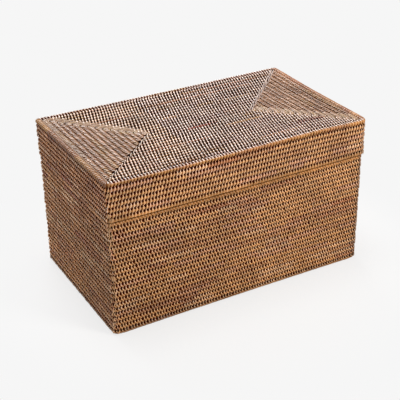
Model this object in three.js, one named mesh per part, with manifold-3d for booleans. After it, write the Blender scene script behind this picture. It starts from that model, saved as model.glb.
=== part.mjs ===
// A coiled rattan box with a lift-off lid. Millimetres, +Z up, origin under the middle of the box.
// X runs along the long side and the front faces -Y. Every course of rod is a ring of its own.

import * as THREE from 'three';
import { mergeVertices } from 'three/addons/utils/BufferGeometryUtils.js';
import Module from 'manifold-3d';

// Outside of the lid, and the height of each wall
const LID_LENGTH = 340;
const LID_WIDTH = 201;
const LID_HEIGHT = 47.7;
const BASE_HEIGHT = 143.7;

// Wall courses of the base and the lid: rod with its cane, as it stands in the wall. Rod sizes are
// nominal, because the whole number of courses that comes nearest fills its wall or panel
const WALL_ROD_HEIGHT = 5.7;
const WALL_THICKNESS = 6.8;
const CORNER_TURN = 5.5;
const LID_OVERHANG = 1.2;

// Courses of the lid's top, from the edge to the middle line
const TOP_ROD_WIDTH = 6.4;
const TOP_ROD_HEIGHT = 5.7;
const TOP_TURN = 3;
const TOP_SAG = 3;

// Floor of the base, one coil bound into a panel
const FLOOR_ROD_WIDTH = 6.4;
const FLOOR_ROD_HEIGHT = 5.7;
const FLOOR_BINDING = 2.4;
const FLOOR_LIFT = 1;

// Collar inside the base's rim, which keeps the lid in place
const COLLAR_THICKNESS = 3;
const COLLAR_HEIGHT = 36;
const COLLAR_RISE = 12;
const COLLAR_EDGE = 0.6;

// Clearances: between one course and the next, and between pieces that fit into each other
const COURSE_GAP = 0.3;
const FIT_GAP = 0.3;

// A rod's section is an octagon: each corner takes this share of its width and of its height
const ROD_CORNER_SHARE = 0.29;
const CORNER_SEGMENTS = 4;

const baseLength = LID_LENGTH - 2 * LID_OVERHANG;
const baseWidth = LID_WIDTH - 2 * LID_OVERHANG;
const lidBottom = BASE_HEIGHT + COURSE_GAP;
const boxHeight = lidBottom + LID_HEIGHT;

// Outside radius of what fits into a wall's inside corners
const fittedTurn = CORNER_TURN - WALL_THICKNESS - FIT_GAP;

const wasm = await Module();
wasm.setup();

function cane(color, roughness = 0.55) {
  return new THREE.MeshStandardMaterial({ color, roughness, metalness: 0 });
}

const WALL_CANE = 0x9c7148;
const RIM_CANE = 0xad7c3c;
const TOP_CANE = 0xb8977a;
const FLOOR_CANE = 0x8f6a47;
const COLLAR_CANE = 0x7d5a38;

// The four corners of a rectangle, in the order in which a path round it passes them
const CORNERS = [[1, 1], [-1, 1], [-1, -1], [1, -1]];
const quarterTurn = Math.PI / 2;

// A rod's or strip's section as [inset from the outside, height], with its corners cut back by edge:
// x across and y up
function sectionPoints(width, height, edge) {
  return [
    [0, edge.y],
    [0, height - edge.y],
    [edge.x, height],
    [width - edge.x, height],
    [width, height - edge.y],
    [width, edge.y],
    [width - edge.x, 0],
    [edge.x, 0],
  ];
}

// Two triangles for each pair of neighbouring section points and each pair of neighbouring stations
function closedLoopIndex(stationCount, pointCount) {
  const index = [];
  for (let s = 0; s < stationCount; s += 1) {
    const here = s * pointCount;
    const next = ((s + 1) % stationCount) * pointCount;
    for (let p = 0; p < pointCount; p += 1) {
      const q = (p + 1) % pointCount;
      index.push(here + p, next + p, here + q);
      index.push(here + q, next + p, next + q);
    }
  }
  return index;
}

// Joins vertices that share a place, and drops the triangles that this leaves without an area
function weld(geometry) {
  const merged = mergeVertices(geometry);
  const corners = Array.from(merged.index.array);
  const kept = [];
  for (let t = 0; t < corners.length; t += 3) {
    const triangle = corners.slice(t, t + 3);
    if (new Set(triangle).size === 3) {
      kept.push(...triangle);
    }
  }
  merged.setIndex(kept);
  merged.computeVertexNormals();
  return merged;
}

// A closed ring of rod or strip, lying flat, with its underside at z. Inside its own turn's radius
// a corner is round, and further in it is sharp
function ring({ length, width, turn, rodWidth, rodHeight, z, edge }) {
  const section = sectionPoints(rodWidth, rodHeight, edge);
  const positions = [];
  CORNERS.forEach(([x, y], corner) => {
    for (let k = 0; k <= CORNER_SEGMENTS; k += 1) {
      const angle = (corner + k / CORNER_SEGMENTS) * quarterTurn;
      section.forEach(([inset, height]) => {
        const centre = Math.max(turn, inset);
        const radius = centre - inset;
        positions.push(
          x * (length / 2 - centre) + radius * Math.cos(angle),
          y * (width / 2 - centre) + radius * Math.sin(angle),
          z + height,
        );
      });
    }
  });
  const geometry = new THREE.BufferGeometry();
  geometry.setAttribute('position', new THREE.Float32BufferAttribute(positions, 3));
  geometry.setIndex(closedLoopIndex(CORNERS.length * (CORNER_SEGMENTS + 1), section.length));
  return weld(geometry);
}

function rodEdge(rodWidth, rodHeight) {
  return new THREE.Vector2(rodWidth, rodHeight).multiplyScalar(ROD_CORNER_SHARE);
}

// A flat board with rounded corners and its underside at z
function board({ length, width, turn, height, z }) {
  const radius = Math.max(turn, 0);
  const outline = new THREE.Shape();
  CORNERS.forEach(([x, y], corner) => {
    const from = corner * quarterTurn;
    const centre = [x * (length / 2 - radius), y * (width / 2 - radius)];
    outline.absarc(...centre, radius, from, from + quarterTurn, false);
  });
  const settings = { depth: height, bevelEnabled: false, curveSegments: CORNER_SEGMENTS / 2 };
  const geometry = new THREE.ExtrudeGeometry(outline, settings);
  geometry.deleteAttribute('normal');
  geometry.deleteAttribute('uv');
  geometry.translate(0, 0, z);
  return weld(geometry);
}

function toSolid(geometry) {
  return new wasm.Manifold(new wasm.Mesh({
    numProp: 3,
    vertProperties: geometry.attributes.position.array,
    triVerts: new Uint32Array(geometry.index.array),
  }));
}

function toGeometry(solid) {
  const mesh = solid.getMesh();
  const geometry = new THREE.BufferGeometry();
  geometry.setAttribute('position', new THREE.BufferAttribute(mesh.vertProperties, mesh.numProp));
  geometry.setIndex(new THREE.BufferAttribute(mesh.triVerts, 1));
  geometry.computeVertexNormals();
  return geometry;
}

const box = new THREE.Group();

function addPiece(name, geometry, material) {
  const mesh = new THREE.Mesh(geometry, material);
  mesh.name = name;
  box.add(mesh);
}

function numbered(prefix, index) {
  return `${prefix}_${String(index + 1).padStart(2, '0')}`;
}

// Courses of rod, with a gap after each, that fill a span which ends in a gap too
function shareCourses(span, rod) {
  const count = Math.round(span / (rod + COURSE_GAP));
  const pitch = span / count;
  return { count, pitch, rod: pitch - COURSE_GAP };
}

// Walls: course 1 is the lowest, and the rim and edge courses are wrapped closely
function addWall(prefix, { length, width, bottom, height, isWrapped }) {
  const courses = shareCourses(height + COURSE_GAP, WALL_ROD_HEIGHT);
  for (let i = 0; i < courses.count; i += 1) {
    const course = ring({
      length,
      width,
      turn: CORNER_TURN,
      rodWidth: WALL_THICKNESS,
      rodHeight: courses.rod,
      z: bottom + i * courses.pitch,
      edge: rodEdge(WALL_THICKNESS, courses.rod),
    });
    const color = isWrapped(i, courses.count) ? RIM_CANE : WALL_CANE;
    addPiece(numbered(prefix, i), course, cane(color));
  }
}

// Flat coils: course 1 is the outermost and takes the turn of the corner that it fits into, and the
// innermost is a doubled rod along the middle line
function coilCourses({ length, width, rodWidth, turn, rodHeight, top }) {
  const { count, pitch, rod } = shareCourses(width / 2, rodWidth);
  const rings = [];
  for (let i = 0; i < count; i += 1) {
    rings.push(ring({
      length: length - 2 * i * pitch,
      width: width - 2 * i * pitch,
      turn: Math.min(Math.max(turn, fittedTurn - i * pitch), width / 2 - i * pitch),
      rodWidth: rod,
      rodHeight,
      z: top((i + 1 / 2) / count) - rodHeight,
      edge: rodEdge(rod, rodHeight),
    }));
  }
  return rings;
}

function addLidTop() {
  const sagAt = (inwardShare) => TOP_SAG * (1 - (1 - inwardShare) ** 2);
  const courses = coilCourses({
    length: LID_LENGTH - 2 * (WALL_THICKNESS + FIT_GAP),
    width: LID_WIDTH - 2 * (WALL_THICKNESS + FIT_GAP),
    rodWidth: TOP_ROD_WIDTH,
    turn: TOP_TURN,
    rodHeight: TOP_ROD_HEIGHT,
    top: (inwardShare) => boxHeight - sagAt(inwardShare),
  });
  courses.forEach((course, i) => {
    addPiece(numbered('lid_top_course', i), course, cane(TOP_CANE, 0.4));
  });
}

// The cane that binds the floor's rods fills the middle of its thickness, so the floor is one panel
function addFloor() {
  const length = baseLength - 2 * (WALL_THICKNESS + FIT_GAP);
  const width = baseWidth - 2 * (WALL_THICKNESS + FIT_GAP);
  const courses = coilCourses({
    length,
    width,
    rodWidth: FLOOR_ROD_WIDTH,
    turn: 0,
    rodHeight: FLOOR_ROD_HEIGHT,
    top: () => FLOOR_LIFT + FLOOR_ROD_HEIGHT,
  });
  const binding = board({
    length,
    width,
    turn: fittedTurn,
    height: FLOOR_BINDING,
    z: FLOOR_LIFT + (FLOOR_ROD_HEIGHT - FLOOR_BINDING) / 2,
  });
  const panel = courses.reduce((joined, course) => joined.add(toSolid(course)), toSolid(binding));
  addPiece('base_floor', toGeometry(panel), cane(FLOOR_CANE));
}

function addCollar() {
  const collar = ring({
    length: baseLength - 2 * (WALL_THICKNESS + FIT_GAP),
    width: baseWidth - 2 * (WALL_THICKNESS + FIT_GAP),
    turn: fittedTurn,
    rodWidth: COLLAR_THICKNESS,
    rodHeight: COLLAR_HEIGHT,
    z: BASE_HEIGHT + COLLAR_RISE - COLLAR_HEIGHT,
    edge: new THREE.Vector2(COLLAR_EDGE, COLLAR_EDGE),
  });
  addPiece('base_collar', collar, cane(COLLAR_CANE));
}

addFloor();
addWall('base_wall_course', {
  length: baseLength,
  width: baseWidth,
  bottom: 0,
  height: BASE_HEIGHT,
  isWrapped: (i, count) => i === count - 1,
});
addCollar();
addWall('lid_wall_course', {
  length: LID_LENGTH,
  width: LID_WIDTH,
  bottom: lidBottom,
  height: LID_HEIGHT,
  isWrapped: (i, count) => i === 0 || i === count - 1,
});
addLidTop();

export default box;
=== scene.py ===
import math

import bpy
import numpy as np
from mathutils import Matrix, Vector


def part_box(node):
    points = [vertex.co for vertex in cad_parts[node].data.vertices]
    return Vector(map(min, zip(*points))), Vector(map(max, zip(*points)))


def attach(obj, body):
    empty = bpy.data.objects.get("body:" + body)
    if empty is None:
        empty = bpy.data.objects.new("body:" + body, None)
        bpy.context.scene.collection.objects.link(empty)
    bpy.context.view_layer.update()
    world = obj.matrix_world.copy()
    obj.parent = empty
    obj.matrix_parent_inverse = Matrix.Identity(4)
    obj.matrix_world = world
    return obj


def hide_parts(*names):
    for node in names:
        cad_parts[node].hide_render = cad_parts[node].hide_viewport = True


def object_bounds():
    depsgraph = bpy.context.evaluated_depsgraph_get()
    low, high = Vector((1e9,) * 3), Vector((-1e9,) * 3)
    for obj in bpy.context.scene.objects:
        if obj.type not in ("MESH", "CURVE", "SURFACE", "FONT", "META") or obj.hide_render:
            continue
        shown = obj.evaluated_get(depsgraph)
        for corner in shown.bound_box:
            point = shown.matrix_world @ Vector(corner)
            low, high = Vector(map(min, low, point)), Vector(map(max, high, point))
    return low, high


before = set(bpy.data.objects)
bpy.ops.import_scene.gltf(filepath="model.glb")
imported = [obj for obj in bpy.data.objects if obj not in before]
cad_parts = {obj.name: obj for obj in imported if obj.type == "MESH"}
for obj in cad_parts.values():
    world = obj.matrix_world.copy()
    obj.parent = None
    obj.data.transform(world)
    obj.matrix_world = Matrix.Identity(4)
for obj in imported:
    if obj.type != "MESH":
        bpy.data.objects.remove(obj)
cad_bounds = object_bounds()

# Lengths are in millimetres up to the mesh builder, which turns them into metres
MM = 0.001
rng = np.random.default_rng(20)


def node_box(name):
    """The low and the high corner of a CAD node."""
    return [np.array(corner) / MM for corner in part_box(name)]


def nodes_named(prefix):
    return [name for name in sorted(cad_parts) if name.startswith(prefix)]


BASE_WALLS = nodes_named("base_wall_course_")
LID_WALLS = nodes_named("lid_wall_course_")
LID_TOPS = nodes_named("lid_top_course_")
TOP_BOXES = [node_box(name) for name in LID_TOPS]
HALF_LENGTH, HALF_WIDTH, BOX_TOP = np.array(cad_bounds[1]) / MM
LID_BOTTOM = node_box(LID_WALLS[0])[0][2]
EDGE_BOTTOM = node_box(LID_WALLS[-1])[0][2]

# Half the walls' thickness, their corners' outside turn, what stitches take up outside their rod,
# and the room between flat courses
WALL_HALF = 3.4
WALL_TURN = 5.5
STITCH_DEPTH = 1.9
ROD_GAP = 0.3
ROD_PITCH = TOP_BOXES[0][1][0] - TOP_BOXES[1][1][0]
ROD_WIDTH = ROD_PITCH - ROD_GAP

# Distance between stitches, and how far each row's stand beside the row below: on the lid's walls
# they lean one way, and on the base, where they are closer, the other
STITCH = 3.86
BASE_STITCH = 3.75
LID_STAGGER = 1.3
BASE_STAGGER = -2.03
TOP_STAGGER = 1.93
# Where the middle stitch of the edge course stands, from the middle of its side
TOP_SHIFT = 0.7

# Camera

# Degrees round the box, above the floor and about the view, then metres from its middle
CAMERA_AZIMUTH, CAMERA_ELEVATION, CAMERA_ROLL = (math.radians(a) for a in (-29.0886, 28.0932, -0.7596))
CAMERA_DISTANCE, CAMERA_RIGHT, CAMERA_DOWN = 1.1865, -0.0020, 0.0124
CAMERA_LENS, CAMERA_SENSOR = 87.3, 36.0


def place_camera():
    turn, rise, roll = CAMERA_AZIMUTH, CAMERA_ELEVATION, CAMERA_ROLL
    back = Vector((math.sin(turn) * math.cos(rise), -math.cos(turn) * math.cos(rise), math.sin(rise)))
    level = (-back).cross(Vector((0, 0, 1))).normalized()
    plumb = level.cross(-back)
    right = level * math.cos(roll) + plumb * math.sin(roll)
    up = plumb * math.cos(roll) - level * math.sin(roll)
    data = bpy.data.cameras.new("camera")
    data.lens, data.sensor_width = CAMERA_LENS, CAMERA_SENSOR
    data.clip_start, data.clip_end = 0.05, 50
    camera = bpy.data.objects.new("camera", data)
    middle = Vector((0, 0, (cad_bounds[0].z + cad_bounds[1].z) / 2))
    place = middle + back * CAMERA_DISTANCE + right * CAMERA_RIGHT - up * CAMERA_DOWN
    camera.matrix_world = Matrix.Translation(place) @ Matrix((right, up, back)).transposed().to_4x4()
    bpy.context.scene.collection.objects.link(camera)
    bpy.context.scene.camera = camera


# Materials

# Between which values most of a noise lies, and the shades that it gives: fibres and patches along a
# strip, and the weathering of the whole box
NOISE_LOW, NOISE_HIGH = 0.3, 0.7
FIBRE_SHADES, PATCH_SHADES, WEATHER_SHADES = (0.8, 1.16), (0.84, 1.12), (0.86, 1.12)
# Noise cells a millimetre across and along a strip, then a metre of the box and of the rods
FIBRE_SCALE, PATCH_SCALE = (2.6, 0.16, 1.0), (0.35, 0.28, 1.0)
WEATHER_SCALE, CORE_SCALE = 22.0, 260.0
# Metres
GRAIN_HEIGHT = 0.0003


def srgb(r, g, b):
    c = np.array([r, g, b], float) / 255
    return np.where(c <= 0.04045, c / 12.92, ((c + 0.055) / 1.055) ** 2.4)


def give(made, **settings):
    """Sets a node's inputs, and what it does or reads."""
    for key, value in settings.items():
        if key in ("operation", "attribute_name"):
            setattr(made, key, value)
        else:
            made.inputs[key.replace("_", " ")].default_value = value
    return made


def node(tree, kind, **settings):
    return give(tree.nodes.new(kind), **settings)


def new_material(name, **settings):
    material = bpy.data.materials.new(name)
    material.use_nodes = True
    tree = material.node_tree
    return material, tree, give(tree.nodes["Principled BSDF"], **settings)


def noise(tree, place, **settings):
    made = node(tree, "ShaderNodeTexNoise", **settings)
    tree.links.new(place, made.inputs["Vector"])
    return made.outputs["Fac"]


def map_range(tree, source, start, end, low, high):
    made = node(tree, "ShaderNodeMapRange", From_Min=start, From_Max=end, To_Min=low, To_Max=high)
    tree.links.new(source, made.inputs["Value"])
    return made


def rough_surface(tree, shader, height, strength):
    bump = node(tree, "ShaderNodeBump", Strength=strength, Distance=GRAIN_HEIGHT)
    tree.links.new(height, bump.inputs["Height"])
    tree.links.new(bump.outputs[0], shader.inputs["Normal"])


def cane_material(name, roughness, gloss, grain_depth, coat, coat_roughness):
    """Split cane: the strand's own colour, long fibres, small scars, and a satin skin."""
    skin = {"Specular_IOR_Level": gloss, "Coat_Weight": coat, "Coat_Roughness": coat_roughness}
    material, tree, shader = new_material(name, **skin)
    link = tree.links.new
    tone = node(tree, "ShaderNodeAttribute", attribute_name="tone")
    fibre = node(tree, "ShaderNodeAttribute", attribute_name="fibre")

    def stretched(scale):
        made = node(tree, "ShaderNodeMapping", Scale=scale)
        link(fibre.outputs["Vector"], made.inputs["Vector"])
        return made.outputs[0]

    def ranged(source, low, high):
        return map_range(tree, source, NOISE_LOW, NOISE_HIGH, low, high).outputs[0]

    def times(colour, value):
        made = tree.nodes.new("ShaderNodeMix")
        made.data_type, made.blend_type = "RGBA", "MULTIPLY"
        made.inputs["Factor"].default_value = 1.0
        link(colour, made.inputs["A"])
        link(value, made.inputs["B"])
        return made.outputs["Result"]

    fibres = noise(tree, stretched(FIBRE_SCALE), Scale=1.0, Detail=3.0, Roughness=0.6)
    patches = noise(tree, stretched(PATCH_SCALE), Scale=1.0, Detail=2.0)
    place = tree.nodes.new("ShaderNodeTexCoord")
    weather = noise(tree, place.outputs["Object"], Scale=WEATHER_SCALE, Detail=2.0)
    colour = times(tone.outputs["Color"], ranged(fibres, *FIBRE_SHADES))
    colour = times(colour, ranged(patches, *PATCH_SHADES))
    colour = times(colour, ranged(weather, *WEATHER_SHADES))
    link(colour, shader.inputs["Base Color"])
    link(ranged(fibres, roughness + 0.07, roughness - 0.05), shader.inputs["Roughness"])
    rough_surface(tree, shader, fibres, grain_depth)
    return material


def core_material(name, dark, light):
    """The rods inside the stitches, seen only through the slits: near black, as painted shade in the slits.
    """
    material, tree, shader = new_material(name, Roughness=0.85, Specular_IOR_Level=0.05)
    place = tree.nodes.new("ShaderNodeTexCoord")
    grain = noise(tree, place.outputs["Object"], Scale=CORE_SCALE, Detail=3.0)
    ramp = tree.nodes.new("ShaderNodeValToRGB")
    for stop, position, colour in zip(ramp.color_ramp.elements, (NOISE_LOW, NOISE_HIGH), (dark, light)):
        stop.position, stop.color = position, (*colour, 1)
    tree.links.new(grain, ramp.inputs["Fac"])
    tree.links.new(ramp.outputs[0], shader.inputs["Base Color"])
    rough_surface(tree, shader, grain, 0.3)
    return material


# Painted shade: the rods are near black and red-brown so that the slits come dark; the top's darker still
shade_core_wall = core_material("rod_core", srgb(42, 5, 0), srgb(72, 13, 0))
shade_core_top = core_material("rod_core_top", srgb(14, 4, 2), srgb(34, 12, 6))
cane_wall = cane_material("cane_wall", 0.37, 0.5, 0.5, 0.24, 0.3)
cane_rim = cane_material("cane_rim", 0.38, 0.35, 0.4, 0.12, 0.22)
cane_top = cane_material("cane_top", 0.3, 0.6, 0.4, 0.6, 0.2)
cane_side = cane_material("cane_side", 0.75, 0.08, 0.4, 0.0, 0.3)
# In the order of a piece's material slots: its own cane, the rods inside, another finish, and the
# strips' cut sides
CORE, OTHER, SIDE = 1, 2, 3
WALL_LOOKS = [cane_wall, shade_core_wall, cane_rim, cane_side]


def mixture(*strands):
    """Strand colours, each given as red, green, blue and how often it comes."""
    return [(srgb(*strand[:3]), strand[3]) for strand in strands]


WALL_TONES = mixture(
    (211, 163, 113, 6), (205, 156, 106, 5), (208, 159, 108, 3), (207, 158, 122, 3),
    (193, 144, 100, 2), (182, 126, 86, 0.3), (182, 132, 94, 1.0), (218, 176, 136, 1.6),
)
END_TONES = mixture(
    (208, 154, 106, 5), (196, 141, 96, 5), (212, 160, 118, 3), (182, 126, 88, 2),
    (222, 178, 138, 2), (176, 116, 86, 0.5),
)
# The top's cane: the walls' cane made paler and pinker, with the sheen that the top shows painted in; the
# top's ends show less sheen and come less pale
TOP_SHEEN_TONES = mixture(
    (226, 204, 193, 6), (218, 194, 184, 5), (236, 215, 206, 4), (215, 188, 180, 3),
    (189, 151, 122, 0.8), (163, 109, 89, 0.2), (203, 172, 140, 1),
)
FLAT_END_SHEEN_TONES = mixture(
    (193, 158, 131, 5), (184, 148, 123, 4), (202, 168, 142, 4), (189, 154, 117, 2), (170, 136, 112, 2),
)
RIM_TONES = mixture(
    (188, 138, 84, 5), (180, 129, 78, 4), (176, 126, 84, 2), (174, 112, 72, 0.4), (196, 148, 94, 2),
)
SEAM_TONES = mixture((188, 142, 92, 4), (178, 134, 86, 3), (198, 152, 106, 2))
LEFT_EDGE_TONES = mixture(
    (172, 128, 74, 4), (152, 110, 68, 3), (142, 98, 66, 2), (172, 94, 52, 0.5), (162, 124, 84, 2),
)
RIGHT_EDGE_TONES = mixture((178, 134, 106, 3), (164, 118, 94, 3), (188, 146, 112, 2))
GREY_TONES = mixture((158, 124, 106, 4), (136, 102, 86, 3), (176, 144, 124, 2))
CLOSE_TONES = mixture((142, 116, 100, 4), (132, 102, 86, 3), (156, 124, 96, 2))
TAN_TONES = mixture((164, 126, 94, 3), (148, 111, 82, 3), (177, 142, 102, 2))
PALE_TONES = mixture((222, 198, 178, 3), (206, 176, 156, 2))
CORE_TONE = srgb(30, 15, 8)
# How much lighter or darker whole strips and single stitches come
STRIP_SPREAD, STITCH_SPREAD = 0.08, 0.12
# Powers on red, green and blue of the painted shading: where it paints shade, cane comes browner
# as well as darker, and where it paints highlights, paler
SHADE_HUE_POWERS = np.array([0.8, 1.6, 2.9])


def strand_tones(count, palette, longest=14, shortest=4):
    """One colour a stitch: a cane strip makes some stitches in a row, and then the next one starts."""
    colours = np.array([c for c, _ in palette])
    weights = np.array([w for _, w in palette], float)
    tones = np.empty((count, 3))
    at = 0
    while at < count:
        run = int(rng.integers(shortest, longest + 1))
        pick = colours[rng.choice(len(palette), p=weights / weights.sum())]
        tones[at:at + run] = pick * rng.uniform(1 - STRIP_SPREAD, 1 + STRIP_SPREAD)
        at += run
    return tones * rng.uniform(1 - STITCH_SPREAD, 1 + STITCH_SPREAD, (count, 1))


# Shapes

# How far this box is out of true: the middles of its long edges, the lid's place at its rim, the
# lid's right end with the length and width that hang, and the outside turn of its worn corner
FOOT_RISE, LID_SINK = 1.0, 1.1
LID_SHIFT = 1.0
HANG, HANG_LENGTH, HANG_WIDTH = 2.3, 75, 100
WORN_TURN = 10.0
# The foot's corners: how far they rise at the left and the right end, from where to where, as a
# distance before the corner along both sides together, and up to what height
CORNER_RISES, CORNER_FROM, CORNER_TO, CORNER_HEIGHT = (1.4, 2.6), 17.5, 2.5, 14


def smooth(value, low, high):
    share = np.clip((value - low) / (high - low), 0, 1)
    return share * share * (3 - 2 * share)


def worn_corner(x, y):
    """Draws in what lies at the front right corner, towards the middle of its worn turn."""
    middle_x, middle_y, radius = HALF_LENGTH - WORN_TURN, WORN_TURN - HALF_WIDTH, WORN_TURN - WALL_TURN
    across, along = np.maximum(x - middle_x, 1e-6), np.maximum(middle_y - y, 1e-6)
    size = np.hypot(across, along)
    c, s = across / size, along / size
    half = radius * (c + s)
    arc = half + np.sqrt(np.maximum(half * half - (2 * radius * radius - WALL_TURN * WALL_TURN), 0))
    reached = np.where((arc * c >= radius) & (arc * s >= radius), arc, WORN_TURN / np.maximum(c, s))
    scale = np.where((x > middle_x) & (y < middle_y), WORN_TURN / reached, 1.0)
    return middle_x + (x - middle_x) * scale, middle_y + (y - middle_y) * scale


def bow(points):
    """Cane walls aren't straight: long edges sink at the lid and rise at the foot, rows waver, the
    lid's right end hangs a little, and the front right corner is worn rounder than the others."""
    x, y, z = points[..., 0], points[..., 1], points[..., 2]
    height = np.clip(z / LID_BOTTOM, 0, 1)
    middle = 1 - (x / HALF_LENGTH) ** 2
    waver = 0.16 * np.sin(x / 31 + z / 23) + 0.12 * np.sin(y / 27 - z / 31 + 1.3)
    waver = waver * np.sin(np.pi * np.clip(z / BOX_TOP, 0, 1))
    hang = smooth(x, HALF_LENGTH - HANG_LENGTH, HALF_LENGTH) * smooth(z, LID_BOTTOM, EDGE_BOTTOM)
    hang = hang * (1 - 0.8 * smooth(y, 0, HANG_WIDTH))
    before = HALF_LENGTH + HALF_WIDTH - np.abs(x) - np.abs(y)
    foot_corner = (1 - smooth(before, CORNER_TO, CORNER_FROM)) * (1 - smooth(z, 0, CORNER_HEIGHT))
    rise = (FOOT_RISE - (FOOT_RISE + LID_SINK) * height) * middle + waver - HANG * hang
    moved_x, moved_y = worn_corner(x, y)
    return np.stack([moved_x, moved_y, z + rise + np.where(x < 0, *CORNER_RISES) * foot_corner], -1)


def lean_lid(points, inset):
    """The lid sits a little to the right at its rim, on the outside of its walls."""
    down = np.clip((BOX_TOP - points[..., 2]) / (BOX_TOP - LID_BOTTOM), 0, 1)
    moved = points.copy()
    moved[..., 0] += LID_SHIFT * down * np.clip(1 - inset / (2 * WALL_HALF), 0, 1)
    return moved


def side_lengths(half_l, half_w, turn):
    """The straight sides of a rounded rectangle: front, right, back, left."""
    return [2 * (half_l - turn), 2 * (half_w - turn)] * 2


def side_starts(half_l, half_w, turn):
    """Where each straight side starts and ends along an outline, and the outline's length."""
    arc, at, found = turn * math.pi / 2, 0.0, []
    for straight in side_lengths(half_l, half_w, turn):
        found.append((at, at + straight))
        at += straight + arc
    return found, at


def outline(u, half_l, half_w, turn):
    """Place and outward normal at arc length u on a rounded rectangle, counter-clockwise seen from
    above, starting at the left end of the front."""
    arc = turn * math.pi / 2
    lengths = np.array([length for side in side_lengths(half_l, half_w, turn) for length in (side, arc)])
    starts = np.concatenate([[0], np.cumsum(lengths)])
    u = np.mod(u, starts[-1])
    part = np.clip(np.searchsorted(starts, u, side="right") - 1, 0, 7)
    along = u - starts[part]
    side, curved = part // 2, part % 2 == 1
    after = (side + 1) % 4
    angle = (side - 1) * math.pi / 2 + np.where(curved, along / max(turn, 1e-9), 0)
    nx, ny = np.cos(angle), np.sin(angle)
    corner_x = np.array([-1, 1, 1, -1]) * (half_l - turn)
    corner_y = np.array([-1, -1, 1, 1]) * (half_w - turn)
    x = np.where(curved, corner_x[after], corner_x[side] - ny * along) + nx * turn
    y = np.where(curved, corner_y[after], corner_y[side] + nx * along) + ny * turn
    return x, y, nx, ny


def inside_outline(s, half_l, half_w, turn, inset, height):
    """Points at arc length s, this far in from the outline and this high."""
    x, y, nx, ny = outline(s, half_l, half_w, turn)
    return np.stack([x - nx * inset, y - ny * inset, height + 0 * x], -1)


def upright(low, high):
    """Half the height of a box, and its middle's height."""
    return (high[2] - low[2]) / 2, (low[2] + high[2]) / 2


# Meshes

# Room round each sheet in its cell of the map, round each strip of the map, and the least strip
CELL_MARGIN, STRIP_MARGIN, MAP_MARGIN, LEAST_STRIP = 0.06, 0.005, 0.002, 0.03


def within(share, margin):
    return margin + (1 - 2 * margin) * share


def flat(values, kind=np.float32):
    return values.astype(kind).ravel()


class Piece:
    """Collects sheets of faces and makes one mesh object of them."""

    def __init__(self, name):
        self.name = name
        self.places, self.faces, self.tones, self.fibres, self.slots, self.maps = [], [], [], [], [], []
        self.count = 0

    def add(self, places, tone, fibre, slot, closed_rows=False, closed_columns=False):
        """places is (sheets, rows, columns, 3). Seen from outside, columns run to the right and rows up.
        slot is one material slot, or one for each column of faces."""
        k, rows, columns, _ = places.shape
        index = np.arange(k * rows * columns).reshape(k, rows, columns) + self.count
        if closed_rows:
            index = np.concatenate([index, index[:, :1]], 1)
        if closed_columns:
            index = np.concatenate([index, index[:, :, :1]], 2)
        quads = np.stack([index[:, :-1, :-1], index[:, :-1, 1:], index[:, 1:, 1:], index[:, 1:, :-1]], -1)
        self.places.append(places.reshape(-1, 3))
        self.faces.append(quads.reshape(-1, 4))
        self.slots.append(np.broadcast_to(slot, quads.shape[:3]).reshape(-1))
        self.tones.append(np.broadcast_to(tone, places.shape).reshape(-1, 3))
        self.fibres.append(np.broadcast_to(fibre, places.shape).reshape(-1, 3))
        self.maps.append(self.layout(k, index.shape[1] - 1, index.shape[2] - 1))
        self.count += k * rows * columns

    @staticmethod
    def layout(k, rows, columns):
        """Each sheet takes a cell of a grid in the map, with a little room round it."""
        across = max(1, round(math.sqrt(k * rows / max(columns, 1) * 1.6)))
        down = math.ceil(k / across)
        r, c = np.meshgrid(np.arange(rows), np.arange(columns), indexing="ij")
        corners = np.stack([np.stack([c + i, r + j], -1) for i, j in ((0, 0), (1, 0), (1, 1), (0, 1))], 2)
        unit = within(corners / np.array([columns, rows]), CELL_MARGIN)
        cell = np.stack([np.arange(k) % across, np.arange(k) // across], -1)[:, None, None, None, :]
        return ((cell + unit[None]) / np.array([across, down])).reshape(-1, 2)

    def packed_map(self):
        """The batches share the map in strips, by how many faces each has."""
        shares = np.array([len(f) for f in self.faces], float)
        shares = np.maximum(shares / shares.sum(), LEAST_STRIP)
        shares /= shares.sum()
        at, found = 0.0, []
        for share, uv in zip(shares, self.maps):
            up = at + within(uv[:, 1], STRIP_MARGIN) * share
            found.append(np.stack([within(uv[:, 0], MAP_MARGIN), up], 1))
            at += share
        return np.concatenate(found)

    def build(self, materials, body, cad_nodes):
        mesh = bpy.data.meshes.new(self.name)
        places = np.concatenate(self.places) * MM
        faces = np.concatenate(self.faces)
        mesh.vertices.add(len(places))
        mesh.vertices.foreach_set("co", flat(places))
        mesh.loops.add(faces.size)
        mesh.loops.foreach_set("vertex_index", flat(faces, np.int32))
        mesh.polygons.add(len(faces))
        mesh.polygons.foreach_set("loop_start", np.arange(0, faces.size, 4, dtype=np.int32))
        mesh.polygons.foreach_set("material_index", flat(np.concatenate(self.slots), np.int32))
        mesh.polygons.foreach_set("use_smooth", np.ones(len(faces), bool))
        mesh.update(calc_edges=True)
        rgba = np.concatenate([np.concatenate(self.tones), np.ones((len(places), 1))], 1)
        mesh.attributes.new("tone", "FLOAT_COLOR", "POINT").data.foreach_set("color", flat(rgba))
        fibre = mesh.attributes.new("fibre", "FLOAT_VECTOR", "POINT")
        fibre.data.foreach_set("vector", flat(np.concatenate(self.fibres)))
        layer = mesh.uv_layers.new(name="OFBake", do_init=False)
        layer.uv.foreach_set("vector", flat(self.packed_map()))
        for material in materials:
            mesh.materials.append(material)
        made = bpy.data.objects.new(self.name, mesh)
        bpy.context.scene.collection.objects.link(made)
        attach(made, body)
        if cad_nodes:
            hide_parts(*cad_nodes)


# Sections

# Across a strip, from side to side: its half width, how deep it lies and how much it takes the
# painted shade of its sides
ACROSS = np.array([-1.0, -0.58, 0.0, 0.58, 1.0])
STRIP_DEPTH = np.array([1.0, 0.2, 0.0, 0.2, 1.0])
SIDE_SHARE = np.array([1.0, 0.3, 0.0, 0.3, 1.0])
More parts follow.
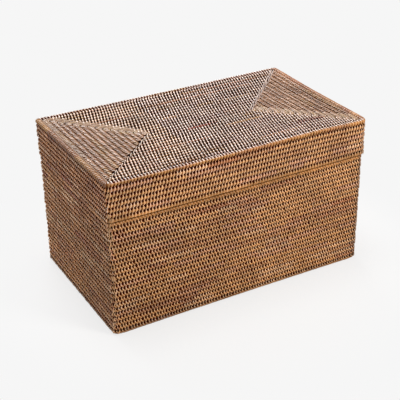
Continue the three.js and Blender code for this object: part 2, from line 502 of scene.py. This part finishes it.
# Stations up a rod's face and down its back, as shares of its half height, and which of them the
# floor keeps
FACE = np.array([-1.0, -0.82, -0.6, -0.42, 0.0, 0.42, 0.6, 0.82, 1.0])
BACK = np.array([0.95, 0.6, 0.0, -0.6, -0.95])
FLOOR_STATIONS = [0, 1, 2, 3, 5, 7, 9, 11, 13]
EDGE_ANGLES = np.array([-86, -66, -46, -26, -8, 12, 30, 46, 62, 80, 102, 126, 150, 190, 225, 258.0])
# How wide slits get, from what share of the half height they open, the stitches' half width on the
# crest, and the painted shading of their middles: shade on the crest and highlights in the valleys
BASE_SLITS = (2.0, 0.28, 0.5, (0.8, 1.32))
LID_SLITS = (2.35, 0.33, 0.5, (0.92, 1.38))
END_SLITS = (2.3, 0.36, 0.47, (0.95, 1.1))


class Profile:
    """Stations round a rod's section, anticlockwise from its lower outer side: how far out and up
    each is, its outward normal, the stitch's half width there as a share of the distance between
    stitches, how far it leans, how deep its sides lie, the painted shading of its middle and its
    sides, how much it takes the top's tones with their painted sheen, and how much of its colour
    the painted shade of a seam leaves."""

    def __init__(self, out, up, widths, lean, relief, middle, sides, blend=None, clean=None):
        self.out, self.up, self.widths, self.lean, self.relief = out, up, widths, lean, relief
        self.blend = np.zeros(len(out)) if blend is None else blend
        self.clean = np.ones(len(out)) if clean is None else clean
        here = np.stack([out, up])
        after, before = np.roll(here, -1, 1), np.roll(here, 1, 1)
        size = np.hypot(*(after - before))
        self.no, self.nz = (after - before)[1] / size, (before - after)[0] / size
        self.along = np.concatenate([[0], np.cumsum(np.hypot(*(after - here)))[:-1]])
        self.painted_shading = middle[:, None] + (sides - middle)[:, None] * SIDE_SHARE

    def thinned(self, keep):
        """The same section with fewer stations."""
        for name, values in list(vars(self).items()):
            setattr(self, name, values[keep])
        return self


def slit(share, start):
    """How open a slit is, from 0 where it starts to 1 in the valley between two rods."""
    into = np.clip((np.abs(share) - start) / (1 - start), 0, 1)
    return np.sqrt(1 - (1 - into) ** 2)


def section(width, start, crest, painted_shades=(0.95, 1.1), below=1.0, above=1.0):
    """Widths, relief and painted shading of stitches that part into slits towards the rods below and above.
    """
    share = np.concatenate([FACE, BACK])
    opened = slit(share, start) * np.where(share < 0, below, above)
    opened[len(FACE):] = slit(share[len(FACE):], 0.3) * 0.8
    widths = crest - opened * (width / 2 - 0.5 + crest)
    relief = 0.42 + 0.85 * opened
    # painted highlights on the strands in the valleys and painted shade on the crests; the strips' sides
    # take more painted shade where the slits open
    middle = painted_shades[0] + (painted_shades[1] - painted_shades[0]) * opened
    sides = 0.66 - 0.58 * opened
    return share, widths, relief, middle, sides


def wall_profile(a, b, pitch, stagger, below=1.0, above=1.0, ends=False, foot=False):
    """A rod in a wall: its face dips a little towards the courses above and below. On the ends of the
    box the cane lies flatter over the crests, lit by a painted highlight, with painted shade between rods."""
    lies_left = stagger < 0
    width, start, crest, painted_shades = END_SLITS if ends else BASE_SLITS if lies_left else LID_SLITS
    share, widths, relief, middle, sides = section(width / pitch, start, crest, painted_shades, below, above)
    size, dip = np.abs(share), 2.0 if ends else 1.7
    if ends:
        # a painted highlight along the crests and painted shade towards the valleys
        relief = relief - 0.15
        middle = middle * (1.45 - 0.83 * size ** 1.3)
        sides = np.where(size < 0.3, 0.6, sides)
    # where a course doesn't part from its neighbour, painted shade darkens the seam and the rod is rounder
    closed = 1 - np.where(share < 0, below, above)
    seam_shade = (0.7225 if foot else 0.85) * closed * np.clip(size * 5 - 3.6, 0, 1)
    depth = dip * (1 - 0.4 * closed) * size ** 2.2 + 1.6 * closed * size ** 6
    out = np.where(np.arange(len(share)) < len(FACE), a - depth, -a + depth)
    up = (b + 0.45 * (1 - closed)) * share
    lean = 0.5 * stagger * share
    if lies_left:
        # the stitches cross the crest at a slant and stand upright where they part
        slant = 2 * smooth(share, -0.42, 0.42) - 1
        lean = 0.5 * stagger * slant + 0.4 * (share - slant)
    return Profile(out, up, widths, lean, relief, middle, sides, clean=1 - seam_shade)


def edge_profile(a, b, open_from, close=False):
    """The rod along the lid's edge: close in front, with slits below it and, from an angle, on top."""
    angle, open_share = EDGE_ANGLES, 0.0 if close else 1.0
    c, s = np.cos(np.radians(angle)), np.sin(np.radians(angle))
    bulge = 0.85 if close else 0.75
    out, up = a * np.sign(c) * np.abs(c) ** bulge, b * np.sign(s) * np.abs(s) ** bulge
    below = slit(np.clip((12 - angle) / 98, 0, 1), 0.02) * (angle < 12)
    above = np.clip((angle - open_from) / 22, 0, 1) * (angle < 200) + 0.8 * (angle >= 200)
    opened = np.maximum(below, above) * open_share
    # the rod's upper side takes the top's tones, with their painted sheen
    blend = np.clip((angle - open_from + 12) / 14, 0, 1) * open_share
    lean, middle, sides = 0.5 * LID_STAGGER * s, 0.96 + 0.08 * opened, 0.62 - 0.5 * opened
    return Profile(out, up, 0.5 - opened * 0.24, lean, 0.5 + 0.7 * opened, middle, sides, blend)


def flat_profile(a, b, kind):
    """A rod lying in a panel, with its face up: the "long" sides, the "bridged" part of them, with
    fainter slits over the crests, the "ends" and the "close" part."""
    looks = {"long": (0.76, 0.2, 0.37), "bridged": (0.78, 0.28, 0.42)}
    share, widths, relief, middle, sides = section(*looks.get(kind, (0.6, 0.3, 0.37)))
    size, dip = np.abs(share), {"ends": 1.2, "close": 1.6}.get(kind, 0.6)
    if kind in looks:
        relief = relief + 0.2
        sides = np.where(size < 0.3, 0.26 if kind == "long" else 0.5, sides)
        middle = middle * (1.03 if kind == "long" else 0.91)
    elif kind == "ends":
        relief = relief - 0.1
        # a painted highlight along the crests and painted shade towards the valleys
        middle = middle * (1.39 - 0.78 * size ** 1.2)
        sides = np.where(size < 0.35, 0.12, sides)
    else:
        widths, relief, middle, sides = (np.full(len(share), v) for v in (0.5, 0.5, 1.0, 0.75))
    depth = dip * size ** 2.2
    up = np.where(np.arange(len(share)) < len(FACE), b - depth, -b + depth)
    lean = -0.5 * TOP_STAGGER * share
    # anticlockwise: over the top from the outer edge inwards
    return Profile(*(v[::-1] for v in (a * share, up, widths, lean, relief, middle, sides)))


# Stitches

# How far the drift moves on from side to side, and the span of noise that strips are cut from
DRIFT_STEP, STRIP_SPAN = 31, 900


def drift(u, z):
    """How far hands let stitches wander along a row, alike in rows that lie close together."""
    slow = 0.55 * np.sin(u / 41 + z / 19)
    return slow + 0.4 * np.sin(u / 17.3 - z / 11 + 2) + 0.3 * np.sin(u / 9.1 + z / 7.3)


def evenly(least, most, shift, pitch):
    """Places a pitch apart from least to most, of which one is at the shift."""
    first, last = math.ceil((least - shift) / pitch), math.floor((most - shift) / pitch)
    return np.arange(first, last + 1) * pitch + shift


def around(half_l, half_w, turn, shift, pitch, key):
    """Where the stitches of a ring stand along its outline, and the room that each has. Every side has
    its own even row, which fits the rows above and below, and the corners take what is left."""
    arc, at, places = turn * math.pi / 2, 0.0, []
    for side, straight in enumerate(side_lengths(half_l, half_w, turn)):
        s = evenly(-straight / 2, straight / 2, shift, pitch)
        places.append(at + straight / 2 + s + drift(s + DRIFT_STEP * side, key))
        at += straight + arc
    filled = []
    for side in range(4):
        here, following = places[side], places[(side + 1) % 4][0] + (at if side == 3 else 0)
        extra = max(round((following - here[-1]) / pitch) - 1, 0)
        filled += [here, here[-1] + (following - here[-1]) * np.arange(1, extra + 1) / (extra + 1)]
    u = np.sort(np.concatenate(filled))
    room = (np.append(u[1:], u[0] + at) - np.insert(u[:-1], 0, u[-1] - at)) / 2
    return u, room


def stitches(piece, place, u, room, profile, tones, slot=0, uneven=0.0):
    """Strips of cane round a rod. place turns (distance along, how far out, height) into points."""
    count = len(u)
    sunk = rng.uniform(0, 0.2 + 2 * uneven, count)[:, None, None]
    narrow = rng.normal(1.0, 0.03 + 0.3 * uneven, count).clip(0.8, 1.05)[:, None, None]
    tones = tones * rng.uniform(1 - uneven, 1 + uneven, (count, 1))
    tilt = rng.normal(1.0, 0.15, count)[:, None, None]
    depth = STRIP_DEPTH * profile.relief[:, None] + sunk
    out = profile.out[:, None] - depth * profile.no[:, None]
    up = profile.up[:, None] - depth * profile.nz[:, None]
    half = room[:, None, None] * profile.widths[:, None] * ACROSS * narrow
    places = place(u[:, None, None] + profile.lean[:, None] * tilt + half, out, up)
    ids = rng.uniform(0, STRIP_SPAN, count)[:, None, None]
    fibre = np.stack(np.broadcast_arrays(half, profile.along[:, None], ids), -1)
    # towards the top, the edge rod takes the top's tones with their painted sheen
    blend = profile.blend[:, None, None]
    tones = tones[:, None, None, :] * (1 - blend) + strand_tones(count, TOP_SHEEN_TONES)[:, None, None, :] * blend
    # the painted shading of each station, and the painted shade in the seams
    tones = tones * profile.painted_shading[:, :, None] ** SHADE_HUE_POWERS * profile.clean[:, None, None]
    finish = np.where(profile.blend > 0.5, OTHER, slot)[:, None]
    slots = np.concatenate([finish * 0 + SIDE, finish, finish, finish * 0 + SIDE], 1)
    piece.add(bow(places), tones, fibre, slots, closed_rows=True)


def add_strands(piece, paths, normals, half_width, depth, tones, slot=0):
    """Lens-shaped strips along paths (strands, points, 3), with the normals of what they lie on. Their
    sides lie this deep."""
    tangent = np.gradient(paths, axis=1)
    tangent /= np.linalg.norm(tangent, axis=-1, keepdims=True)
    side = np.cross(tangent, normals)
    side /= np.linalg.norm(side, axis=-1, keepdims=True)
    half = ACROSS * np.full(paths.shape[:2], half_width)[..., None]
    sink = STRIP_DEPTH[:, None] * depth
    places = paths[:, :, None] + side[:, :, None] * half[..., None] - normals[:, :, None] * sink
    steps = np.linalg.norm(np.diff(paths, axis=1), axis=-1)
    along = np.concatenate([np.zeros((len(paths), 1)), np.cumsum(steps, 1)], 1)
    ids = rng.uniform(0, STRIP_SPAN, len(paths))[:, None, None]
    fibre = np.stack(np.broadcast_arrays(half, along[:, :, None], ids), -1)
    piece.add(bow(places), tones[:, None, None, :], fibre, slot)


# Steps along each side and each corner of a rod, and its number of sides
CORE_STEPS, CORE_CORNER_STEPS, CORE_SIDES = 12, 5, 10


def add_core(piece, half_l, half_w, turn, centre_inset, core_a, core_b, centre, leaning=False, board=False):
    """The rod, or the board, that the stitches go round."""
    arc, stations, at = turn * math.pi / 2, [], 0.0
    for straight in side_lengths(half_l, half_w, turn):
        for length, steps in ((straight, CORE_STEPS), (arc, CORE_CORNER_STEPS)):
            stations += list(at + np.linspace(0, length, steps + 1)[:-1])
            at += length
    u = np.array(stations)
    angle = (np.arange(CORE_SIDES) + 0.5) / CORE_SIDES * 2 * math.pi
    out, up = core_a * np.cos(angle), core_b * np.sin(angle)
    if board:
        out = core_a * np.sign(out) * (np.abs(up) < core_b * 0.99)
        up = core_b * np.clip(up / core_b * 2.5, -1, 1)
    inset = (centre_inset - out)[:, None]
    places = inside_outline(u[None] + 0 * inset, half_l, half_w, turn, inset, centre + up[:, None])
    if leaning:
        places = lean_lid(places, inset)
    fibre = np.zeros((1, CORE_SIDES, len(u), 3))
    piece.add(bow(places)[None], CORE_TONE, fibre, CORE, closed_rows=True, closed_columns=True)


# Walls

# How far a rod reaches past its course above and below, so that no slit goes through
CORE_RISE = {"open": 0.2, "edge": -0.7}
LID_TINT, LID_END_TINT = np.array([1.03, 0.99, 0.95]), np.array([0.99, 0.89, 0.79])
BASE_TINT, BASE_END_TINT = np.array([1.0, 0.98, 0.93]), np.array([1.09, 1.05, 0.94])
# The foot's shade, and the painted shade on the worn corner's turn: how much darker the cane is
# there, from where to where
FOOT_SHADE, CORNER_SHADE_DARKER, CORNER_SHADE_REACH = 0.6, {"base": 0.5, "lid": 0.28}, (4, 9)
# The edge course: its cane on each side, and the front's parts, which open at different angles
EDGE_TONES = (RIM_TONES, RIGHT_EDGE_TONES, TOP_SHEEN_TONES, LEFT_EDGE_TONES)
EDGE_PARTS, EDGE_OPENS, EDGE_OPENS_BEHIND = 12, (38, 68), 30


def base_tint_and_shade(x, y, z, side):
    """How much darker and browner the base's cane is: more so towards the foot, and near the front left
    corner under the first few courses, where it is painted shade for the lamp's light falling off."""
    low = (1 - smooth(z, 0, 130)) * np.array([0.07, 0.1, 0.17])
    # painted shade near the front left corner, where the front lamp's light falls off
    corner = (1 - smooth(np.hypot(x + 170, y + 100), 30, 200)) * (1 - smooth(z, 112, 136))
    plain = BASE_TINT if side % 2 == 0 else BASE_END_TINT
    return plain - low - 0.13 * corner[:, None]


def corner_stitches(piece, place, half_l, half_w, b, palette):
    """Short stitches that stand a little crooked at a wall's corners, left by the turns of the cane."""
    sides, _ = side_starts(half_l, half_w, WALL_TURN)
    share = np.linspace(-1, 1, 9)
    for corner in range(4):
        middle = sides[corner][1] + WALL_TURN * math.pi / 4
        for at in (-2.6, 0.4, 3.2):
            if rng.uniform() > 0.5:
                continue
            reach, rise, steep = rng.uniform(0.5, 1.6), rng.uniform(-1.2, 1.2), rng.uniform(0.75, 1.1)
            s = middle + at + rng.normal(0, 0.7) + reach * share
            out = WALL_HALF + 0.1 - 1.3 * share ** 4
            up = rise + steep * b * np.sin(share * 1.4)
            path = place(s[None], out[None], up[None])
            _, _, nx, ny = outline(s, half_l, half_w, WALL_TURN)
            normals = np.stack([nx, ny, 0 * nx], -1)[None]
            half_width = rng.uniform(0.45, 0.65)
            # at the worn corner the stitches take painted shade
            tones = strand_tones(1, palette) * (0.5 if corner == 0 else 1.0)
            add_strands(piece, path, normals, half_width, 0.526, tones)


def edge_side(piece, place, side, u, room, there, along, b):
    """The stitches of one side of the lid's edge course."""
    tones = strand_tones(len(u), EDGE_TONES[side], 9, 4)
    parts = EDGE_PARTS if side == 0 else 1
    for part in range(parts):
        here = there & (np.clip(along * parts, 0, parts - 1).astype(int) == part)
        first, last = EDGE_OPENS
        open_from = first + (last - first) * smooth(part, 3, 8) if side == 0 else EDGE_OPENS_BEHIND
        profile = edge_profile(WALL_HALF, b, open_from, close=side % 2 == 1)
        stitches(piece, place, u[here], room[here], profile, tones[here])


def wall_course(name, row, body, kind):
    """One course of a wall: "open" to its neighbours, the "foot", the lid's "edge", or the one above
    or below the seam, where base and lid meet."""
    low, high = node_box(name)
    half_l, half_w, (b, centre) = high[0], high[1], upright(low, high)
    on_lid, plain = body == "lid", kind in ("open", "foot")
    piece = Piece(name + "_bound")

    def place(s, out, up):
        inset = WALL_HALF - out
        found = inside_outline(s, half_l, half_w, WALL_TURN, inset, centre + up)
        return lean_lid(found, inset) if on_lid else found

    pitch, stagger = (STITCH, LID_STAGGER) if on_lid else (BASE_STITCH, BASE_STAGGER)
    last_row = len(BASE_WALLS) + len(LID_WALLS) - 1
    u, room = around(half_l, half_w, WALL_TURN, stagger * (row - last_row) + TOP_SHIFT, pitch, centre)
    u = u + rng.normal(0, 0.12, len(u))
    sides, total = side_starts(half_l, half_w, WALL_TURN)
    half_arc = WALL_TURN * math.pi / 4
    # painted shade on the round turn of the worn corner
    corner_shading = 1 - smooth(np.abs(u - (sides[0][1] + sides[1][0]) / 2), *CORNER_SHADE_REACH)
    below, above = float(kind not in ("above seam", "foot")), float(kind != "below seam")
    for side, (start, end) in enumerate(sides):
        there = (u >= start - half_arc) & (u < end + half_arc)
        if side == 0:
            there |= u >= total - half_arc
        if kind == "edge":
            edge_side(piece, place, side, u, room, there, (u - start) / (end - start), b)
            continue
        at_end = side % 2 == 1
        palette = END_TONES if at_end else WALL_TONES if plain else SEAM_TONES
        profile = wall_profile(WALL_HALF, b, pitch, stagger, below, above, ends=at_end, foot=kind == "foot")
        tones = strand_tones(there.sum(), palette) * (FOOT_SHADE if kind == "foot" else 1.0)
        if on_lid:
            tones = tones * (LID_END_TINT if at_end else LID_TINT)
        else:
            x, y, _, _ = outline(u[there], half_l, half_w, WALL_TURN)
            tones = tones * base_tint_and_shade(x, y, centre, side)
        tones = tones * (1 - CORNER_SHADE_DARKER[body] * corner_shading[there])[:, None]
        stitches(piece, place, u[there], room[there], profile, tones, uneven=0.14 * at_end)
    if kind != "edge":
        palette = [PALE_TONES[1]] + WALL_TONES[:4] if on_lid else WALL_TONES
        corner_stitches(piece, place, half_l, half_w, b, palette)
    core_b = b + CORE_RISE.get(kind, 0.0)
    add_core(piece, half_l, half_w, WALL_TURN, WALL_HALF, WALL_HALF - STITCH_DEPTH, core_b, centre, on_lid)
    looks = [cane_wall if plain else cane_rim, shade_core_wall, cane_top, cane_side]
    piece.build(looks, body, [name])


def build_walls():
    kinds = {BASE_WALLS[0]: "foot", BASE_WALLS[-1]: "below seam"}
    kinds |= {LID_WALLS[0]: "above seam", LID_WALLS[-1]: "edge"}
    for row, name in enumerate(BASE_WALLS + LID_WALLS):
        wall_course(name, row, "base" if name in BASE_WALLS else "lid", kinds.get(name, "open"))


# Flat coils

# Outward and forward directions of the front, right, back and left sides of a ring
SIDES = [((0, -1), (1, 0)), ((1, 0), (0, 1)), ((0, 1), (-1, 0)), ((-1, 0), (0, -1))]
# How far the stitches of a side end before the mitres at its start and at its end
MITRE_GAPS = [(1.9, 1.1), (1.1, 1.1), (1.1, 1.1), (1.1, 1.9)]
# How far past its middle the outermost course's left side is close, and left of where the slits of
# the long sides are bridged
CLOSE_UP_TO, BRIDGED_UP_TO = 25, -45
# Strands laid where a course turns: where they lie across it, their turn, and how far they run on
LANES, LAID_TURN, LAID_LENGTH = (-0.75, -0.25, 0.25, 0.75), 3.4, 13
# Courses of the top in which a strip's tail shows: side, course, from where to where along X, colour
RUNNERS = [
    (0, 7, -96, -8, (122, 72, 52)), (0, 12, -24, 8, (140, 62, 50)), (2, 9, -36, -14, (160, 118, 84)),
    (2, 7, 60, 98, (168, 132, 96)), (2, 3, -20, 118, (138, 92, 70)), (2, 1, 20, 132, (134, 84, 62)),
    (2, 5, -112, -62, (130, 88, 70)), (0, 2, 34, 88, (150, 108, 78)), (0, 10, 20, 74, (158, 116, 82)),
]


def side_shift(side, rows):
    """Where the outermost course's stitches stand on a side, so that the ribs of opposite sides meet
    at the middle line."""
    shift = TOP_SHIFT + TOP_STAGGER
    return shift if side < 2 else -shift - (2 * rows - 1) * TOP_STAGGER


def coil_course(piece, low, high, row, rows, palettes, trims=None, close_sides=(), keep=slice(None)):
    """The stitches of one flat ring: four straight sides, cut along the mitres. trims gives how far
    before each end of each side the stitches stop."""
    a, (b, centre) = ROD_WIDTH / 2 + 0.5, upright(low, high)
    for side, ((nx, ny), (tx, ty)) in enumerate(SIDES):
        is_end = side % 2 == 1
        across_half, along_half = (high[0], high[1]) if is_end else (high[1], high[0])
        reach = along_half - ROD_WIDTH / 2
        base = evenly(-reach - 1, reach + 1, side_shift(side, rows) + TOP_STAGGER * row, STITCH)
        first, last = (trims or {}).get(side, (0, 0))
        base = base[(base > -reach - 2 + min(first, reach)) & (base < reach + 2 - min(last, reach))]
        if not len(base):
            continue
        u = base + drift(base + DRIFT_STEP * side, 3.3 * row) + rng.normal(0, 0.1, len(base))

        def place(s, out, up):
            inset = ROD_WIDTH / 2 - out
            least, most = (np.maximum(along_half - inset - gap, 0) for gap in MITRE_GAPS[side])
            s, n = np.clip(s, -least, most), across_half - inset
            return np.stack([nx * n + tx * s, ny * n + ty * s, centre + up], -1)

        close = (u < CLOSE_UP_TO) & (side in close_sides)
        bridged = (u * tx < BRIDGED_UP_TO) & (not is_end)
        looks = ((close, "close", CLOSE_TONES, OTHER), (bridged, "bridged", palettes[0], 0),
                 (~close & ~bridged, ("long", "ends")[is_end], palettes[is_end], 0))
        for there, look, palette, slot in looks:
            if there.any():
                room, profile = np.full(there.sum(), STITCH), flat_profile(a, b, look).thinned(keep)
                tones = strand_tones(there.sum(), palette)
                stitches(piece, place, u[there], room, profile, tones, slot, 0.13 * is_end)


def coil_core(piece, low, high):
    half_rod, (b, centre) = ROD_WIDTH / 2, upright(low, high)
    turn = min(2.5, high[1] - 0.01)
    add_core(piece, high[0], high[1], turn, half_rod, half_rod + 0.35, b - STITCH_DEPTH, centre)


def runner(piece, high, side, start, end, tone):
    """The tail of a cane strip, laid along a rod under its stitches, which shows between them."""
    y = -SIDES[side][0][1] * (ROD_WIDTH / 2 - high[1])
    x = np.linspace(start, end, max(4, int((end - start) / 3)))
    z = high[2] - 1.0 - 1.2 * np.abs(np.linspace(-1, 1, len(x))) ** 12
    path = np.stack([x, y + 0 * x, z], -1)[None]
    normals = np.broadcast_to([0.0, 0, 1], path.shape)
    add_strands(piece, path, normals, 1.7, 0.316, srgb(*tone)[None], SIDE)


def laid_strands(piece, high, start_side, before, after, palette):
    """Long strands that lie along a flat ring where it turns, in place of its stitches."""
    share = np.linspace(0, 1, 25)
    for lane in LANES:
        inset = ROD_WIDTH / 2 * (1 - lane)
        half_l, half_w = high[0] - inset, high[1] - inset
        turn = min(LAID_TURN, half_w - 0.05)
        sides, _ = side_starts(half_l, half_w, turn)
        (start, corner), (turned, end) = sides[start_side], sides[(start_side + 1) % 4]
        first = corner - min(before, (corner - start) * 0.8) - rng.normal(0, 0.8)
        last = corner + turn * math.pi / 2 + min(after, (end - turned) * 0.8) + rng.normal(0, 0.8)
        x, y, nx, ny = outline(first + share * (last - first), half_l, half_w, turn)
        dive = 1.7 * (np.clip(1 - share * 9, 0, 1) ** 2 + np.clip(1 - (1 - share) * 9, 0, 1) ** 2)
        z = high[2] - 0.25 - 0.6 * abs(lane) ** 2 - dive
        path = np.stack([x, y, z], -1)[None]
        tip = 0.35 * lane
        normals = np.stack([nx * tip, ny * tip, 1 + 0 * nx], -1)[None] / math.hypot(1, tip)
        # the outer lanes are painted darker, as shade towards the grooves between courses
        painted_shading = 1.06 - 0.4 * abs(lane)
        add_strands(piece, path, normals, 0.92, 0.737, strand_tones(1, palette) * painted_shading, OTHER)


def build_top():
    rows = len(LID_TOPS)
    for row, (name, (low, high)) in enumerate(zip(LID_TOPS, TOP_BOXES)):
        piece = Piece(name + "_bound")
        # the strands that turn along the back left mitre end at the tip of the left end's triangle
        tail = min(LAID_LENGTH, 3 + 4 * (rows - 1 - row))
        trims = {0: (1.8, 0), 1: (LAID_LENGTH - 2, 1.2), 2: (1.2, tail - 2), 3: (0, 2.6)}
        close_sides = (3,) if row == 0 else ()
        coil_course(piece, low, high, row, rows, (TOP_SHEEN_TONES, FLAT_END_SHEEN_TONES), trims, close_sides)
        laid_strands(piece, high, 2, tail, 3, TAN_TONES)
        laid_strands(piece, high, 0, 2, LAID_LENGTH, TAN_TONES)
        for side, at, start, end, tone in RUNNERS:
            if at == row:
                runner(piece, high, side, start, end, tone)
        coil_core(piece, low, high)
        piece.build([cane_top, shade_core_top, cane_rim, cane_side], "lid", [name])


def build_floor():
    low, high = node_box("base_floor")
    piece = Piece("base_floor_bound")
    rows = round(high[1] / ROD_PITCH)
    for row in range(rows):
        inset = np.array([1, 1, 0]) * row * high[1] / rows
        corners, palettes = (low + inset, high - inset), (WALL_TONES, WALL_TONES)
        coil_course(piece, *corners, row, rows, palettes, keep=FLOOR_STATIONS)
        coil_core(piece, *corners)
    piece.build(WALL_LOOKS, "base", ["base_floor"])


# Bindings on the top

# The reeds' half length, how far in they lie, and the distance between them
REED_HALF, REED_INSET, REED_STEP = 97, 6.5, 0.7


def build_highlight_reeds():
    """Two thin pale reeds along the left edge of the top, painting the highlight line along it."""
    piece = Piece("left_edge_reed")
    y = np.linspace(REED_HALF, -REED_HALF, 60)
    for lane in (0.0, 1.0):
        x = -HALF_LENGTH + REED_INSET + REED_STEP * lane + 0.25 * np.sin(y / 7 + lane)
        z = TOP_BOXES[0][1][2] - 0.35 - 0.45 * lane - 0.3 * np.abs(y / REED_HALF) ** 8
        path = np.stack([x, y, z], -1)[None]
        normals = np.broadcast_to([0.0, 0, 1], path.shape)
        add_strands(piece, path, normals, 0.42, 0.421, strand_tones(1, PALE_TONES) * 0.72)
    piece.build([cane_side], "lid", [])


def build_mitre_binding(name, corner, offsets, span, half_width, palette):
    """Stitches laid along the mitre of a corner, each from the middle of one course to that of a later
    one and a little across."""
    piece = Piece(name)
    sx, sy = corner
    half = ROD_PITCH / 2
    points = np.array([[sx * (high[0] - half), sy * (high[1] - half), high[2]] for _, high in TOP_BOXES])
    along, across = np.array([[-sx, -sy, 0], [sy, -sx, 0]]) / math.sqrt(2)
    share = np.linspace(0, 1, 9)
    for point in points:
        for offset in offsets:
            start = point + across * offset[0] - along * rng.uniform(2.4, 3.4)
            end = point + across * offset[1] + along * (span * ROD_PITCH * math.sqrt(2) - 3)
            path = start + (end - start) * share[:, None] + across * rng.normal(0, 0.25)
            surface = np.interp(path @ along, points @ along, points[:, 2])
            path[:, 2] = surface + 0.35 - 1.5 * np.abs(2 * share - 1) ** 5
            path[:, 2] = np.minimum(path[:, 2], TOP_BOXES[0][1][2] + 0.2)
            normals = np.broadcast_to([0.0, 0, 1], (1, 9, 3))
            add_strands(piece, path[None], normals, half_width, 0.632, strand_tones(1, palette))
    piece.build([cane_top], "lid", [])


# Collar

COLLAR_HALF, COLLAR_TURN = 1.5, 0.6
WRAP_PITCH, WRAP_LEAN, WRAP_WIDTH, WRAP_RELIEF, WRAP_SIDE_SHADE = 8.0, 7.0, 0.57, 0.35, 0.72
# Stations round the strip's section, as shares of half its height and half its thickness
WRAP_UP = np.array([-0.97, -0.6, -0.2, 0.2, 0.6, 0.97, 1.0, 0.97, 0.6, 0.2, -0.2, -0.6, -0.97, -1.0])
WRAP_OUT = np.array([1.0] * 6 + [0.0] + [-1.0] * 6 + [0.0])


def build_collar():
    """A board wrapped at a slant with broad strips that overlap."""
    low, high = node_box("base_collar")
    piece = Piece("base_collar_bound")
    half_l, half_w, (b, centre) = high[0], high[1], upright(low, high)

    def place(s, out, up):
        return inside_outline(s, half_l, half_w, COLLAR_TURN, COLLAR_HALF - out, centre + up)

    even = np.ones(len(WRAP_UP))
    shapes = (WRAP_WIDTH * even, WRAP_LEAN * WRAP_UP, WRAP_RELIEF * even, even, WRAP_SIDE_SHADE * even)
    profile = Profile(WRAP_OUT * COLLAR_HALF, WRAP_UP * b, *shapes)
    u, room = around(half_l, half_w, COLLAR_TURN, 0.0, WRAP_PITCH, 7.0)
    stitches(piece, place, u, room, profile, strand_tones(len(u), WALL_TONES, 5, 2))
    add_core(piece, half_l, half_w, COLLAR_TURN, COLLAR_HALF, COLLAR_HALF - 0.6, b - 0.6, centre, board=True)
    piece.build(WALL_LOOKS, "base", ["base_collar"])


# Stage

BACKDROP = (*srgb(246, 246, 246), 1)
# The share of its shadow that the floor shows, and the metres from the middle over which it fades
SHADOW_SHARE, SHADOW_FROM, SHADOW_TO = 0.22, 0.16, 0.32
# Name, place, what it is turned to and size in metres, watts and colour
LAMPS = [
    ("back", (0.1, 1.5, 1.0), (0, 0, 0.15), (1.4, 0.6), 22, (1, 1, 1)),
    ("top", (-0.2, 0.1, 1.7), (0, 0, 0.15), (0.6, 0.6), 12, (1, 1, 1)),
    ("front", (0.95, -1.45, 1.0), (0, 0, 0.08), (0.6, 0.6), 30, (1.0, 0.965, 0.92)),
]


def area_light(name, place, target, size, power, colour):
    data = bpy.data.lights.new(name, "AREA")
    data.shape, data.size, data.size_y = "RECTANGLE", size[0], size[1]
    data.energy, data.color = power, colour
    light = bpy.data.objects.new(name, data)
    light.location = place
    light.rotation_euler = (Vector(target) - Vector(place)).to_track_quat("-Z", "Y").to_euler()
    bpy.context.scene.collection.objects.link(light)


def backdrop_shader(tree, output, plain, kept=None):
    """Camera, mirror and clear rays see the plain backdrop colour; other rays see what plain gives.
    Where kept is over 0, the first ones see that share of it too."""

    def combined(operation, first, second, clamp=False):
        made = node(tree, "ShaderNodeMath", operation=operation)
        made.use_clamp = clamp
        for value, socket in zip((first, second), made.inputs):
            if isinstance(value, float):
                socket.default_value = value
            else:
                tree.links.new(value, socket)
        return made.outputs[0]

    path = tree.nodes.new("ShaderNodeLightPath").outputs
    clear = combined("ADD", path["Is Camera Ray"], path["Is Transmission Ray"])
    seen = combined("ADD", clear, path["Is Glossy Ray"], clamp=True)
    if kept:
        seen = combined("MULTIPLY", seen, combined("SUBTRACT", 1.0, kept))
    pale = node(tree, "ShaderNodeEmission", Color=BACKDROP)
    mix = tree.nodes.new("ShaderNodeMixShader")
    for source, socket in zip((seen, plain, pale.outputs[0]), mix.inputs):
        tree.links.new(source, socket)
    tree.links.new(mix.outputs[0], output)


def build_world():
    world = bpy.data.worlds.new("studio")
    bpy.context.scene.world = world
    world.use_nodes = True
    tree = world.node_tree
    sky = give(tree.nodes["Background"], Color=(1.0, 0.99, 0.98, 1), Strength=0.2)
    backdrop_shader(tree, tree.nodes["World Output"].inputs["Surface"], sky.outputs[0])


def build_ground():
    bpy.ops.mesh.primitive_plane_add(size=12, location=(0, 0, 0))
    floor = bpy.context.object
    floor.name = "floor"
    looks = {"Base_Color": BACKDROP, "Roughness": 0.9, "Specular_IOR_Level": 0.1}
    material, tree, shader = new_material("floor", **looks)
    place = tree.nodes.new("ShaderNodeTexCoord")
    from_middle = node(tree, "ShaderNodeVectorMath", operation="LENGTH")
    tree.links.new(place.outputs["Object"], from_middle.inputs[0])
    near = map_range(tree, from_middle.outputs["Value"], SHADOW_FROM, SHADOW_TO, SHADOW_SHARE, 0.0)
    near.interpolation_type = "SMOOTHSTEP"
    surface = tree.nodes["Material Output"].inputs["Surface"]
    backdrop_shader(tree, surface, shader.outputs[0], near.outputs[0])
    floor.data.materials.append(material)


build_walls()
build_top()
build_highlight_reeds()
build_mitre_binding("front_left_binding", (-1, -1), [(-0.7, 0.7)], 1.0, 0.5, PALE_TONES)
build_mitre_binding("back_right_binding", (1, 1), [(-2.0, -0.7), (0.6, 1.9)], 1.1, 0.75, GREY_TONES)
build_floor()
build_collar()
place_camera()
build_world()
build_ground()
for lamp in LAMPS:
    area_light(*lamp)

bpy.context.scene.view_settings.view_transform = "Standard"
